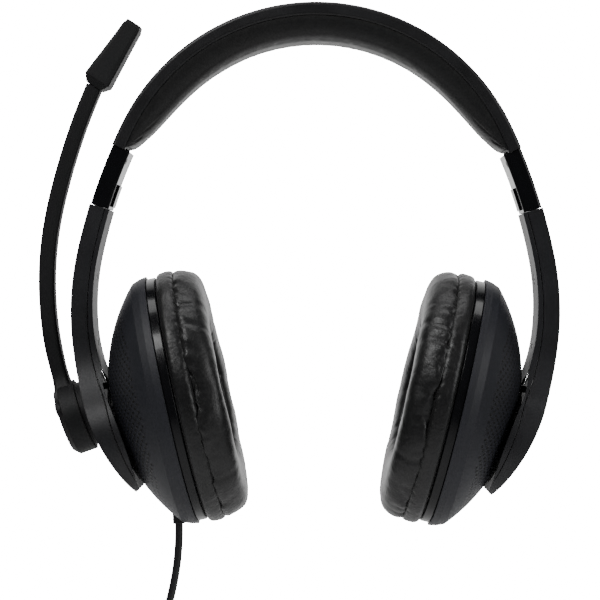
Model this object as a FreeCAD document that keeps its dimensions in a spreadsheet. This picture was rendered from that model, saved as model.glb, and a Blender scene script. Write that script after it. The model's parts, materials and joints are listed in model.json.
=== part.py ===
"""Office headset: padded headband, two telescoping arms, two tilting oval ear cups and a swinging microphone boom.

Frame, in millimetres: origin midway between the two ear cups on the wearer's ear axis, +X to the side without
the boom, +Y towards the back, +Z up. Every side piece is drawn for the +X side and is symmetric in Y, so the
-X side uses the same piece turned half a turn about Z.
"""
import FreeCAD
import Part
import Sketcher
import math
import os

V = FreeCAD.Vector
X, Y, Z = V(1, 0, 0), V(0, 1, 0), V(0, 0, 1)
SIDES = ("right", "left")

DRIVING = {
    # outer line of the band and arms: three tangent arcs from the crown down each side
    "crown_z": 142.5, "arch_rad": 78.0, "arch_ang": 64.4, "side_rad": 198.0, "side_ang": 14.2, "knee_rad": 101.5,
    "housing_top_ang": 66.6, "housing_end_ang": 73.2, "arm_end_ang": 130.2,
    # headband
    "band_thick": 5.0, "band_width": 28.0, "band_end_width": 20.0, "band_wall": 1.5, "corner_fillet": 1.2,
    "spring_thick": 0.6, "spring_width": 12.0, "pad_thick": 8.2, "pad_skin": 0.9, "bridge_dia": 1.4,
    # end housings and size sliders
    "housing_thick": 7.0, "housing_width": 18.6, "rail_thick": 1.4, "rail_width": 10.0, "rail_depth": 2.6,
    "rail_up": 26.5, "rail_down": 10.0, "rail_gap": 0.1, "notch_pitch": 2.5, "notch_rad": 0.3, "notch_from": 6.0,
    "notch_count": 8, "marker_len": 8.6, "marker_high": 0.9, "marker_width": 9.0,
    # arms
    "arm_thick": 7.4, "arm_width": 19.0, "arm_wall": 1.7, "arm_gap": 0.25, "plate_rad": 22.5, "plate_drop": 8.3,
    "plate_neck_rad": 34.0, "dish_gap": 2.8,
    # ear cups, in the cup's own frame: X is the outward axis, measured from the cushion side of the trim ring
    "cup_offset": 47.9, "cup_tilt": 12.75, "cup_half": 45.8, "cup_oval": 0.81, "ring_from": 0.4, "ring_to": 3.8,
    "ring_inset": 1.0, "wall_to": 7.6, "dome_rad": 66.0, "dome_centre": -39.9, "cup_wall": 2.0,
    "recess_rad": 13.6, "recess_floor": 19.6, "pivot_out": 23.75,
    # gimbal between arm and cup
    "gimbal_rad": 8.0, "gimbal_thick": 5.0, "pin_rad": 1.2, "pin_run": 0.05, "ear_from": 9.0, "ear_to": 11.4,
    "ear_half": 3.0, "bracket_rad": 15.5, "bracket_thick": 1.3,
    # driver and cushion
    "baffle_thick": 1.6, "driver_rad": 20.0, "magnet_rad": 11.0, "cushion_depth": 18.6, "skirt_depth": 6.6,
    "cushion_hole": 22.5, "cushion_skin": 0.9,
    # microphone boom
    "boom_ang": 111.4, "boom_axis_lean": 20.0, "hub_rad": 13.2, "hub_from": 0.35, "hub_step": 2.2, "hub_thick": 8.1,
    "hub_neck_rad": 11.8, "land_rad": 12.4, "land_deep": 1.6, "axle_rad": 4.0,
    "boom_thick": 5.7, "boom_width": 8.4, "boom_foot_x": 92.2, "boom_foot_z": 6.8, "boom_lean": 16.7,
    "boom_low_rad": 125.0, "boom_low_ang": 28.7, "boom_top_rad": 240.0, "boom_top_ang": 11.0, "mic_lean": 32.2,
    "mic_len": 25.7, "mic_thick": 10.0, "mic_tip_thick": 6.6, "mic_width": 13.0, "mic_tip_width": 11.0,
    "capsule_rad": 2.55, "capsule_len": 5.6,
    # cable and 3.5 mm plug
    "cable_dia": 2.9, "cable_x": 49.0, "cable_z": -43.5, "cable_bend_rad": 100.0, "cable_back_rad": 70.0,
    "cable_lean": 22.0, "plug_rad": 1.75, "plug_len": 14.0, "plug_body_rad": 4.0, "plug_body_len": 22.0,
}

doc = FreeCAD.newDocument("headset")
sheet = doc.addObject("Spreadsheet::Sheet", "sizes")
for row, (alias, value) in enumerate(DRIVING.items(), start=1):
    sheet.set(f"A{row}", alias)
    sheet.set(f"B{row}", str(value))
    sheet.setAlias(f"B{row}", alias)
doc.recompute()


def size(alias):
    """A driving dimension, read back from the spreadsheet."""
    return float(sheet.get(alias))


# ---------------------------------------------------------------- document helpers
nodes = []


def place(obj, side="right"):
    """Registers a finished sub-part. The left one is the right one turned half a turn about Z."""
    if side == "left":
        obj.Placement = FreeCAD.Placement(V(), FreeCAD.Rotation(Z, 180)).multiply(obj.Placement)
    nodes.append(obj)
    return obj


def feature(label, shape, side="right"):
    """A sub-part whose shape is computed."""
    obj = doc.addObject("Part::Feature", label)
    obj.Label = label
    obj.Shape = shape
    return place(obj, side)


def bind(obj, **cells):
    """Ties properties of a document object to spreadsheet expressions."""
    for prop, cell in cells.items():
        obj.setExpression(prop, cell)


def plane_of(body, role):
    return next(f for f in body.Origin.OriginFeatures if f.Role == role)


def new_body(label):
    body = doc.addObject("PartDesign::Body", label)
    body.Label = label
    return body


def sketch_on(body, role, name):
    sketch = body.newObject("Sketcher::SketchObject", name)
    sketch.AttachmentSupport = [(plane_of(body, role), "")]
    sketch.MapMode = "FlatFace"
    return sketch


def value(cell):
    """Number behind a size, which is either a plain number or an expression on the sheet."""
    if isinstance(cell, (int, float)):
        return float(cell)
    probe = doc.getObject("sizes")
    return float(probe.evalExpression(cell.replace("sizes.", "")))


def outline(sketch, points):
    """Closed outline of straight lines. Each coordinate is a number or an expression, and is a constraint."""
    numbers = [(value(x), value(y)) for x, y in points]
    count = len(points)
    for k in range(count):
        a, b = numbers[k], numbers[(k + 1) % count]
        sketch.addGeometry(Part.LineSegment(V(a[0], a[1], 0), V(b[0], b[1], 0)), False)
    for k in range(count):
        sketch.addConstraint(Sketcher.Constraint("Coincident", k, 2, (k + 1) % count, 1))
    for k, point in enumerate(points):
        for axis, kind, cell in ((-2, "DistanceX", point[0]), (-1, "DistanceY", point[1])):
            number = value(cell)
            if abs(number) < 1e-9:
                sketch.addConstraint(Sketcher.Constraint("PointOnObject", k, 1, axis))
                continue
            sketch.addConstraint(Sketcher.Constraint(kind, -1, 1, k, 1, number))
            if isinstance(cell, str):
                sketch.setExpression(f"Constraints[{sketch.ConstraintCount - 1}]", cell)


def turned_body(label, points):
    """PartDesign revolution about the body's X axis of an outline of (out, radius) points."""
    body = new_body(label)
    sketch = sketch_on(body, "XZ_Plane", label + "_outline")
    outline(sketch, points)
    turn = body.newObject("PartDesign::Revolution", label + "_turn")
    turn.Profile = sketch
    turn.ReferenceAxis = (sketch, ["H_Axis"])
    turn.Angle = 360
    doc.recompute()
    return body


def compound_of(label, members):
    """Identical loose pieces under one name."""
    group = doc.addObject("Part::Compound", label)
    group.Label = label
    group.Links = members
    doc.recompute()
    return group


def bar(name, start, direction, radius, length):
    """Part::Cylinder from start along direction; radius and length are expressions."""
    obj = doc.addObject("Part::Cylinder", name)
    bind(obj, Radius=radius, Height=length)
    obj.Placement = FreeCAD.Placement(start, FreeCAD.Rotation(Z, direction))
    return obj


def ring_body(label, out_from, out_to, rad_in, rad_out):
    """Ring about the body's X axis; its sizes are expressions."""
    return turned_body(label, [(out_from, rad_in), (out_from, rad_out), (out_to, rad_out), (out_to, rad_in)])


# ---------------------------------------------------------------- outer line of band and arms
def outer(ang):
    """Point of the outer line, on the +X side, where it has turned by ang degrees from level."""
    turned, x, z = 0.0, 0.0, size("crown_z")
    side_end = size("arch_ang") + size("side_ang")
    for rad, end in ((size("arch_rad"), size("arch_ang")), (size("side_rad"), side_end), (size("knee_rad"), 180.0)):
        stop = math.radians(min(ang, end))
        x += rad * (math.sin(stop) - math.sin(turned))
        z -= rad * (math.cos(turned) - math.cos(stop))
        turned = stop
        if ang <= end:
            break
    return V(x, 0, z)


def heading(ang):
    return V(math.cos(math.radians(ang)), 0, -math.sin(math.radians(ang)))


def inward(ang):
    """Unit vector from the outer line towards the wearer."""
    return V(-math.sin(math.radians(ang)), 0, -math.cos(math.radians(ang)))


def at_depth(ang, depth):
    """Point inward of the outer line; a negative angle is the mirrored side."""
    point = outer(abs(ang)) + inward(abs(ang)) * depth
    return point if ang >= 0 else V(-point.x, 0, point.z)


def depth_dir(ang):
    direction = inward(abs(ang))
    return direction if ang >= 0 else V(-direction.x, 0, direction.z)


# ---------------------------------------------------------------- solids from sections
def rounded_section(centre, across, depth_axis, half_across, half_depth, corner):
    """Wire of a rounded rectangle: half_across along across and half_depth along depth_axis."""
    corner = min(corner, half_across * 0.95, half_depth * 0.95)
    a, b = half_across - corner, half_depth - corner
    edges, last, first = [], None, None
    diagonal = math.sqrt(0.5)
    for sx, sy in ((1, 1), (-1, 1), (-1, -1), (1, -1)):
        hub = centre + across * (sx * a) + depth_axis * (sy * b)
        start = hub + (across * (sx * corner) if sx * sy > 0 else depth_axis * (sy * corner))
        stop = hub + (depth_axis * (sy * corner) if sx * sy > 0 else across * (sx * corner))
        middle = hub + (across * sx + depth_axis * sy) * (corner * diagonal)
        if last is not None:
            edges.append(Part.makeLine(last, start))
        edges.append(Part.Arc(start, middle, stop).toShape())
        first = first or start
        last = stop
    edges.append(Part.makeLine(last, first))
    return Part.Wire(edges)


def band_loft(stations):
    """Loft through rounded sections of the band. A station is (ang, depth_from, depth_to, width, corner)."""
    wires = []
    for ang, near, far, width, corner in stations:
        centre = at_depth(ang, (near + far) / 2)
        wires.append(rounded_section(centre, Y, depth_dir(ang), width / 2, (far - near) / 2, corner))
    return Part.makeLoft(wires, True, False)


def spread(limit, count):
    return [-limit + 2 * limit * k / (count - 1) for k in range(count)]


def cylinder(start, direction, radius, length):
    return Part.makeCylinder(radius, length, start, direction)


def screw(head_at, direction, length, head_rad=1.7, shank_rad=0.9):
    """Pan-head screw with a cross recess; direction runs from head to tip."""
    head_high = 1.1
    body = cylinder(head_at, direction, head_rad, head_high)
    body = body.fuse(cylinder(head_at + direction * head_high, direction, shank_rad, length))
    slot_dir = Y
    cross_dir = direction.cross(Y)
    for along, wide in ((slot_dir, cross_dir), (cross_dir, slot_dir)):
        half_len, half_wide, deep = head_rad * 0.6, 0.18, 0.5
        corner = head_at - along * half_len - wide * half_wide - direction * 0.1
        face = Part.Face(Part.makePolygon([
            corner, corner + along * 2 * half_len, corner + along * 2 * half_len + wide * 2 * half_wide,
            corner + wide * 2 * half_wide, corner]))
        body = body.cut(face.extrude(direction * (deep + 0.1)))
    return body.removeSplitter()


# ---------------------------------------------------------------- headband
def band_width_at(ang):
    """The band tapers from the crown to its ends, following a cosine."""
    blend = math.cos(math.pi / 2 * abs(ang) / size("housing_top_ang"))
    return size("band_end_width") + (size("band_width") - size("band_end_width")) * blend


def pad_depth_at(ang):
    """Pad thickness: even over the crown, then rounded off at its blunt ends."""
    share = min(1.0, abs(ang) / (size("housing_top_ang") - 0.4))
    return 1.0 + (size("pad_thick") - 1.0) * (1 - share ** 6) ** 0.4


def build_headband():
    top = size("housing_top_ang")
    thick, wall = size("band_thick"), size("band_wall")
    angles = spread(top, 19)
    shell = band_loft([(a, 0, thick, band_width_at(a), size("corner_fillet")) for a in angles])
    overrun = spread(top + 2.0, 19)
    channel = band_loft([(a, wall, thick + 2.0, band_width_at(a) - 5.0, 0.4) for a in overrun])
    feature("headband_shell", shell.cut(channel))
    liner_at = spread(top - 0.2, 17)
    liner = band_loft([(a, thick - 1.0, thick, band_width_at(a) - 5.4, 0.3) for a in liner_at])
    feature("headband_liner", liner)
    spring_from = wall + 0.25
    spring_at = spread(top - 7.0, 15)
    spring_to = spring_from + size("spring_thick")
    spring = band_loft([(a, spring_from, spring_to, size("spring_width"), 0.2) for a in spring_at])
    feature("headband_spring", spring)
    wire_depth = spring_to + 0.1 + size("bridge_dia") / 2 - 0.15
    half = size("bridge_dia") / 2 - 0.15
    wire_at = spread(top - 9.0, 15)
    bridge = band_loft([(a, wire_depth - half, wire_depth + half, 2 * half, half * 0.9) for a in wire_at])
    feature("bridge_wire", bridge)


def build_headband_pad():
    limit = size("housing_top_ang") - 0.4
    thick, skin = size("band_thick"), size("pad_skin")
    gap = 0.05
    angles = [limit * math.sin(math.pi / 2 * k / 14) for k in range(-14, 15)]
    cover = band_loft([(a, thick + gap, thick + gap + pad_depth_at(a), band_width_at(a) - 1.6,
                        min(3.6, pad_depth_at(a) * 0.45)) for a in angles])
    inner = spread(limit - 12.0, 17)
    foam = band_loft([(a, thick + gap + skin, thick + gap + pad_depth_at(a) - skin,
                       band_width_at(a) - 1.6 - 2 * skin, min(2.8, (pad_depth_at(a) - 2 * skin) * 0.4))
                      for a in inner])
    feature("headband_pad_cover", cover.cut(foam))
    feature("headband_pad_foam", foam)


# ---------------------------------------------------------------- end housings and size sliders
def slide_dir():
    """The arm slides along the housing's mean direction, downwards."""
    return heading((size("housing_top_ang") + size("housing_end_ang")) / 2)


def rail_box(grow, up, down):
    """Straight slider strip through the middle of the housing; grow adds clearance on its four sides."""
    origin = at_depth(size("housing_end_ang"), size("rail_depth"))
    along = slide_dir()
    across_in = V(along.z, 0, -along.x)
    half_t, half_w = size("rail_thick") / 2 + grow, size("rail_width") / 2 + grow
    corners = []
    for sx, sy in ((-1, -1), (1, -1), (1, 1), (-1, 1), (-1, -1)):
        corners.append(origin - along * up + across_in * (sx * half_t) + Y * (sy * half_w))
    return Part.Face(Part.makePolygon(corners)).extrude(along * (up + down))


def rail_frame(along_shift=0.0):
    """Placement in the housing: local X towards the wearer, Z up along the slide."""
    origin = at_depth(size("housing_end_ang"), size("rail_depth"))
    along = slide_dir()
    across_in = V(along.z, 0, -along.x)
    return FreeCAD.Placement(origin - along * along_shift, FreeCAD.Rotation(across_in, Y, along * -1, "ZXY"))


def build_rail(side):
    """Slider strip with a row of detent notches across its wearer's face."""
    label = f"{side}_slider_rail"
    body = new_body(label)
    sketch = sketch_on(body, "YZ_Plane", label + "_strip")
    half = "sizes.rail_width / 2"
    outline(sketch, [("-" + half, "-sizes.rail_down"), (half, "-sizes.rail_down"),
                     (half, "sizes.rail_up"), ("-" + half, "sizes.rail_up")])
    pad = body.newObject("PartDesign::Pad", label + "_pad")
    pad.Profile = sketch
    pad.Midplane = True
    bind(pad, Length="sizes.rail_thick")
    notch = sketch_on(body, "XZ_Plane", label + "_notch")
    notch.addGeometry(Part.Circle(V(0.7, 4, 0), Z, 0.3), False)
    notch.addConstraint(Sketcher.Constraint("Radius", 0, 0.3))
    notch.addConstraint(Sketcher.Constraint("DistanceX", -1, 1, 0, 3, 0.7))
    notch.addConstraint(Sketcher.Constraint("DistanceY", -1, 1, 0, 3, 4.0))
    for k, cell in enumerate(("sizes.notch_rad", "sizes.rail_thick / 2", "sizes.notch_from")):
        notch.setExpression(f"Constraints[{k}]", cell)
    cut = body.newObject("PartDesign::Pocket", label + "_notch_cut")
    cut.Profile = notch
    cut.Midplane = True
    cut.Type = "Length"
    bind(cut, Length="sizes.rail_width + 2")
    doc.recompute()
    row = body.newObject("PartDesign::LinearPattern", label + "_notches")
    row.Originals = [cut]
    row.Direction = (notch, ["V_Axis"])
    bind(row, Length="sizes.notch_pitch * (sizes.notch_count - 1)", Occurrences="sizes.notch_count")
    body.Tip = row
    doc.recompute()
    body.Placement = rail_frame()
    place(body, side)


def housing_screw_spots():
    """Where the two screws enter each housing, and the way they run out."""
    ang = size("housing_top_ang") + 1.1
    face = at_depth(ang, size("housing_thick"))
    return [face + Y * (sign * 7.0) for sign in (-1, 1)], inward(ang) * -1


def build_housing(side):
    """Hollow sleeve at the end of the band; the slider strip runs in it against a sprung detent."""
    start, end = size("housing_top_ang") + 0.03, size("housing_end_ang") - 0.02
    steps = [start + (end - start) * k / 4 for k in range(5)]
    inset, corner = 0.25, size("corner_fillet")
    body = band_loft([(a, inset, size("housing_thick"), size("housing_width"), corner) for a in steps])
    body = body.cut(rail_box(size("rail_gap"), size("rail_up") + 8.0, 2.0))
    face_out = size("rail_thick") / 2 + size("rail_gap") - 0.01
    pocket = Part.makeBox(0.7, 4.4, 10.0, V(face_out, -2.2, 1.0))
    leaf = Part.makeBox(0.3, 3.6, 9.0, V(face_out + 0.3, -1.8, 1.5))
    bump = Part.makeCylinder(0.45, 3.6, V(face_out + 0.35, -1.8, 6.0), Y)
    bump = bump.common(Part.makeBox(0.45, 4, 4, V(face_out - 0.05, -2, 4)))
    spring = leaf.fuse(bump).removeSplitter()
    for shape in (pocket, spring):
        shape.transformShape(rail_frame().toMatrix())
    body = body.cut(pocket)
    spots, out = housing_screw_spots()
    for spot in spots:
        body = body.cut(cylinder(spot - out * 0.4, out, 1.2, 0.4 + 1.22))
        body = body.cut(cylinder(spot, out, 0.6, 3.8))
    feature(f"{side}_end_housing", body, side)
    feature(f"{side}_detent_spring", spring, side)


def build_housing_screws():
    """The four housing screws, alike on both sides."""
    spots, out = housing_screw_spots()
    screws = []
    for spot in spots:
        one = screw(spot + out * 0.1, out, 2.6, 1.15, 0.6)
        screws.append(one)
        screws.append(one.rotated(V(), Z, 180))
    feature("housing_screws", Part.makeCompound(screws))


def build_marker(side):
    """Raised plate on the wearer's face of the housing, in its lower half."""
    arc = math.degrees(size("marker_len") / size("side_rad"))
    low = size("housing_end_ang") - 0.35
    steps = [low - arc, low - arc / 2, low]
    near = size("housing_thick")
    body = band_loft([(a, near, near + size("marker_high"), size("marker_width"), 0.4) for a in steps])
    feature(f"{side}_side_marker", body, side)


# ---------------------------------------------------------------- cup frame
def cup_placement():
    return FreeCAD.Placement(V(size("cup_offset"), 0, 0), FreeCAD.Rotation(Y, size("cup_tilt")))


def to_row(point):
    return cup_placement().multVec(point)


def cup_dir(vector):
    return cup_placement().Rotation.multVec(vector)


def oval(shape):
    """Squeezes a turned shape in Y, which makes its circles ovals."""
    matrix = FreeCAD.Matrix()
    matrix.scale(1, size("cup_oval"), 1)
    return shape.transformGeometry(matrix)


def turned(points):
    """Solid of revolution about the cup's outward axis. Points are (out, radius), a third item bulges an arc
    to the next point through that (out, radius) pair."""
    edges = []
    for k, item in enumerate(points):
        nxt = points[(k + 1) % len(points)]
        a, b = V(item[0], 0, item[1]), V(nxt[0], 0, nxt[1])
        if len(item) > 2:
            edges.append(Part.Arc(a, V(item[2][0], 0, item[2][1]), b).toShape())
        elif (a - b).Length > 1e-6:
            edges.append(Part.makeLine(a, b))
    return Part.Face(Part.Wire(edges)).revolve(V(), X, 360)


def dome_out(radius, offset=0.0):
    """How far out the dome stands at a radius, offset outwards."""
    rad = size("dome_rad") + offset
    return size("dome_centre") + math.sqrt(rad * rad - radius * radius)


def dome_solid(offset, base_out, rim, top_out=None):
    """Filled dome from base_out, with its rim at radius rim; top_out cuts its crown flat."""
    rim_out = dome_out(rim, offset)
    if top_out is None:
        apex, mid = dome_out(0, offset), rim / 2
        return turned([(base_out, 0), (base_out, rim), (rim_out, rim, (dome_out(mid, offset), mid)), (apex, 0)])
    rad = size("dome_rad") + offset
    flat = math.sqrt(rad * rad - (top_out - size("dome_centre")) ** 2)
    mid = (flat + rim) / 2
    return turned([(base_out, 0), (base_out, rim), (rim_out, rim, (dome_out(mid, offset), mid)),
                   (top_out, flat), (top_out, 0)])


# ---------------------------------------------------------------- ear cups
def in_cup(label, shape, side, squeeze=True):
    solid = oval(shape) if squeeze else shape
    solid.transformShape(cup_placement().toMatrix())
    return feature(label, solid, side)


def cup_ears():
    """Two ears in the shell's recess that carry the tilt pins."""
    ears = []
    for sign in (-1, 1):
        low = size("ear_from") if sign > 0 else -size("ear_to")
        wide = size("ear_to") - size("ear_from")
        box = Part.makeBox(7.4, wide, 2 * size("ear_half"), V(size("recess_floor") - 1.0, low, -size("ear_half")))
        ears.append(box)
    return ears


def build_cup_shell(side):
    half, wall = size("cup_half"), size("cup_wall")
    shoulder = half - 1.6
    outer_skin = turned([(size("ring_to"), 0), (size("ring_to"), half), (size("wall_to") - 1.2, half - 0.5),
                         (dome_out(shoulder), shoulder, (dome_out(shoulder / 2), shoulder / 2)), (dome_out(0), 0)])
    hollow = dome_solid(-wall, size("ring_to") - 1.0, shoulder - wall)
    shell = oval(outer_skin.cut(hollow))
    floor_at = size("recess_floor")
    tub = cylinder(V(floor_at - 1.8, 0, 0), X, size("recess_rad") + 1.6, 12.0)
    tub = tub.common(oval(outer_skin))
    shell = shell.fuse(tub).cut(cylinder(V(floor_at, 0, 0), X, size("recess_rad"), 12.0))
    for ear in cup_ears():
        shell = shell.fuse(ear)
    hole_rad = size("pin_rad") + size("pin_run")
    shell = shell.cut(cylinder(V(size("pivot_out"), -12.5, 0), Y, hole_rad, 25.0))
    for radius, spot in screw_spots():
        boss = cylinder(V(size("ring_to"), spot.y, spot.z), X, radius, 20.0)
        shell = shell.fuse(boss.common(oval(outer_skin)))
        shell = shell.cut(cylinder(V(size("ring_to") - 0.5, spot.y, spot.z), X, 0.9, 5.0))
    shell = shell.removeSplitter()
    if side == "left":
        shell = shell.cut(strain_hole())
    shell.transformShape(cup_placement().toMatrix())
    feature(f"{side}_cup_shell", shell, side)


def screw_spots():
    """Boss radius and place of the four screws that hold the baffle, on the oval."""
    spots = []
    for ang in (38, 142, 218, 322):
        spread_rad = size("cup_half") - 11.0
        y = spread_rad * size("cup_oval") * math.cos(math.radians(ang))
        spots.append((2.4, V(0, y, spread_rad * math.sin(math.radians(ang)))))
    return spots


def build_cup_ring(side):
    """Gloss trim ring between shell and cushion, a turned pad squeezed to the oval."""
    body = ring_body(f"{side}_ring_round", "sizes.ring_from", "sizes.ring_to", "sizes.cup_half - 7",
                     "sizes.cup_half - sizes.ring_inset")
    round_ring = body.Shape.copy()
    rim = [e for e in round_ring.Edges if abs(e.BoundBox.ZLength / 2 - size("cup_half") + size("ring_inset")) < 0.1]
    in_cup(f"{side}_trim_ring", round_ring.makeChamfer(0.35, rim), side)


def build_baffle(side):
    """Baffle that holds the driver; it closes the shell behind the trim ring."""
    thick, rad = size("baffle_thick"), size("cup_half") - 7.2
    out = size("ring_to") - thick
    plate = oval(turned([(out, 0), (out, rad), (out + thick, rad), (out + thick, 0)]))
    plate = plate.cut(cylinder(V(out - 1, 0, 0), X, size("driver_rad") - 1.5, thick + 2))
    vent_ring = size("driver_rad") + 5.0
    for k in range(8):
        ang = math.radians(45 * k + 22.5)
        at = V(out - 1, vent_ring * math.cos(ang), vent_ring * math.sin(ang))
        plate = plate.cut(cylinder(at, X, 1.5, thick + 2))
    for _, spot in screw_spots():
        plate = plate.cut(cylinder(V(out - 1, spot.y, spot.z), X, 1.1, thick + 2))
    in_cup(f"{side}_baffle", plate, side, squeeze=False)
    screws = [screw(V(out - 1.1, spot.y, spot.z), X, 5.0) for _, spot in screw_spots()]
    in_cup(f"{side}_cup_screws", Part.makeCompound(screws), side, squeeze=False)


def body_in_cup(body, side):
    body.Placement = cup_placement()
    return place(body, side)


def build_driver(side):
    """Driver: frame, magnet and diaphragm, seated on the outer face of the baffle."""
    seat, rad, magnet = "sizes.ring_to", "sizes.driver_rad", "sizes.magnet_rad"
    body_in_cup(turned_body(f"{side}_driver_frame", [
        (seat, rad + " - 3"), (seat, rad), (seat + " + 1.6", rad), (seat + " + 4.6", magnet + " + 2"),
        (seat + " + 4.6", magnet + " + 0.05"), (seat + " + 3.4", magnet + " + 0.05"),
        (seat + " + 1.0", rad + " - 3")]), side)
    body_in_cup(turned_body(f"{side}_driver_magnet", [
        (seat + " + 3.4", 0), (seat + " + 3.4", magnet), (seat + " + 9.0", magnet),
        (seat + " + 9.6", magnet + " - 0.6"), (seat + " + 9.6", 0)]), side)
    cone = "(sizes.driver_rad - 3.2)"
    body_in_cup(turned_body(f"{side}_driver_film", [
        (seat + " + 0.2", 0), (seat + " + 0.2", cone + " * 0.4"), (seat + " + 1.2", cone + " * 0.45"),
        (seat + " + 0.2", cone), (seat + " + 0.45", cone), (seat + " + 1.5", cone + " * 0.45"),
        (seat + " + 0.5", cone + " * 0.35"), (seat + " + 0.5", 0)]), side)


def build_cushion(side):
    """Cushion: foam ring in a leatherette cover, a carrier plate that clips on, and the cloth over the driver."""
    half, hole, skin = size("cup_half"), size("cushion_hole"), size("cushion_skin")
    face, back = size("ring_from") - size("cushion_depth"), size("ring_from")
    seam = back - size("skirt_depth")
    rim = half + 0.6
    cover = turned([(back, hole + 3), (back, rim - 2.2, (back - 0.7, rim - 0.7)), (back - 2.2, rim),
                    (seam + 1.0, rim), (seam, rim - 1.4), (seam - 1.0, rim - 0.4),
                    (face + 6.5, rim - 0.8, (face + 1.9, rim - 2.8)), (face, rim - 8.0),
                    (face, hole + 6.0, (face + 1.6, hole + 1.6)), (face + 5.0, hole), (seam, hole),
                    (back - 1.4, hole + 3)])
    foam = turned([(seam + 0.6, hole + 4.2), (seam + 0.6, rim - 4.2), (face + 6.5, rim - skin - 1.6),
                   (face + skin + 1.4, rim - 8.0), (face + skin + 1.4, hole + 6.5), (face + 5.0, hole + skin + 0.4)])
    in_cup(f"{side}_cushion_cover", cover.cut(foam), side)
    in_cup(f"{side}_cushion_foam", foam, side)
    cloth = turned([(back - 1.2, 0), (back - 1.2, hole + 2.7), (back - 0.4, hole + 2.7), (back - 0.4, 0)])
    in_cup(f"{side}_driver_cloth", cloth, side)


# ---------------------------------------------------------------- gimbal
def build_gimbal(side):
    """Cross block that lets a cup tilt about Y and swivel about its upright axis."""
    out, thick = size("pivot_out"), size("gimbal_thick")
    block = cylinder(V(out - thick / 2, 0, 0), X, size("gimbal_rad"), thick)
    block = block.makeChamfer(0.4, [e for e in block.Edges if e.Curve.TypeId == "Part::GeomCircle"])
    for axis in (Y, Z):
        for sign in (-1, 1):
            block = block.cut(cylinder(V(out, 0, 0) + axis * (sign * 5.0), axis * sign, size("pin_rad"), 6.0))
    in_cup(f"{side}_gimbal_block", block, side, squeeze=False)
    pins = []
    for k, way in enumerate((Y, Y * -1, Z, Z * -1)):
        start = V(out, 0, 0) + way * 5.0
        pins.append(bar(f"{side}_pin_{k}", start, way, "sizes.pin_rad", "sizes.ear_to - 5.2"))
    group = compound_of(f"{side}_gimbal_pins", pins)
    group.Placement = cup_placement()
    place(group, side)


def bracket_solid():
    """Dished bracket inside the arm's plate, with two ears for the swivel pins, in the row frame."""
    gap, thick, rad = size("dish_gap"), size("bracket_thick"), size("bracket_rad")
    plate = dome_solid(gap + thick, 20.0, rad).cut(dome_solid(gap, 19.0, rad + 1))
    for sign in (-1, 1):
        low = size("ear_from") if sign > 0 else -size("ear_to")
        tall = size("ear_to") - size("ear_from")
        ear = Part.makeBox(7.0, 2 * size("ear_half"), tall, V(size("pivot_out") - 2.4, -size("ear_half"), low))
        plate = plate.fuse(ear.common(dome_solid(gap + thick / 2, 15.0, 20.0)))
    hole_rad = size("pin_rad") + size("pin_run")
    plate = plate.cut(cylinder(V(size("pivot_out"), 0, -12.5), Z, hole_rad, 25.0)).removeSplitter()
    plate.transformShape(cup_placement().toMatrix())
    return plate.cut(cylinder(axle_at(-3.3), axle_dir(), size("axle_rad") + 2.0, 6.0))


# ---------------------------------------------------------------- arms
def arm_depth_at(ang):
    """Arm thickness: slim at the top, deepest at the knee, thin again at the tip of the plate."""
    slim, knee_at, end = size("arm_thick"), 109.0, size("arm_end_ang")
    if ang < knee_at:
        share = max(0.0, (ang - size("housing_end_ang")) / (knee_at - size("housing_end_ang")))
        return slim + 0.9 * share + 2.4 * share ** 5
    share = (ang - knee_at) / (end - knee_at)
    return (slim + 3.3) - 7.0 * share ** 1.5


def arm_profile(shrink_out=0.0, shrink_in=0.0, shrink_end=0.0, start_over=0.0):
    """Face in the XZ plane between the outer line and the arm's inner line, each moved in by its shrink."""
    start = size("housing_end_ang") + 0.03 - start_over
    end = size("arm_end_ang") - math.degrees(shrink_end / size("knee_rad"))
    steps = [start + (end - start) * k / 14 for k in range(15)]
    outer_pts = [at_depth(a, shrink_out) for a in steps]
    inner_pts = [at_depth(a, max(arm_depth_at(a) - shrink_in, shrink_out + 0.3)) for a in steps]
    out_line, in_line = Part.BSplineCurve(), Part.BSplineCurve()
    out_line.interpolate(outer_pts)
    in_line.interpolate(inner_pts)
    edges = [out_line.toShape(), Part.makeLine(outer_pts[-1], inner_pts[-1]), in_line.toShape(),
             Part.makeLine(inner_pts[0], outer_pts[0])]
    return Part.Face(Part.Wire(Part.__sortEdges__(edges)))


def arm_outline(shrink):
    """Solid the arm is trimmed to, seen square to its plate: a strap that widens into a round plate."""
    frame = cup_placement()
    centre = to_row(V(0, 0, -size("plate_drop")))
    rad, strap = size("plate_rad") - shrink, size("arm_width") / 2 - shrink
    neck = size("plate_neck_rad") + shrink
    lift = math.sqrt((rad + neck) ** 2 - (strap + neck) ** 2)
    tangent = rad / (rad + neck)
    top = 140.0
    up_axis, side_axis = frame.Rotation.multVec(Z), Y

    def point(y, z):
        return centre + side_axis * y + up_axis * z

    join = ((strap + neck) * tangent, lift * tangent)
    to_join = math.atan2(join[1] - lift, join[0] - strap - neck)
    middle_ang = (to_join - math.pi) / 2 if to_join > 0 else (to_join + 2 * math.pi + math.pi) / 2
    neck_mid = (strap + neck + neck * math.cos(middle_ang), lift + neck * math.sin(middle_ang))
    edges = [
        Part.makeLine(point(-strap, top), point(strap, top)),
        Part.makeLine(point(strap, top), point(strap, lift)),
        Part.Arc(point(strap, lift), point(*neck_mid), point(*join)).toShape(),
        Part.Arc(point(*join), point(0, -rad), point(-join[0], join[1])).toShape(),
        Part.Arc(point(-join[0], join[1]), point(-neck_mid[0], neck_mid[1]), point(-strap, lift)).toShape(),
        Part.makeLine(point(-strap, lift), point(-strap, top)),
    ]
    out = cup_dir(X)
    face = Part.Face(Part.Wire(Part.__sortEdges__(edges)))
    return face.extrude(out * 110.0)


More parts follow.
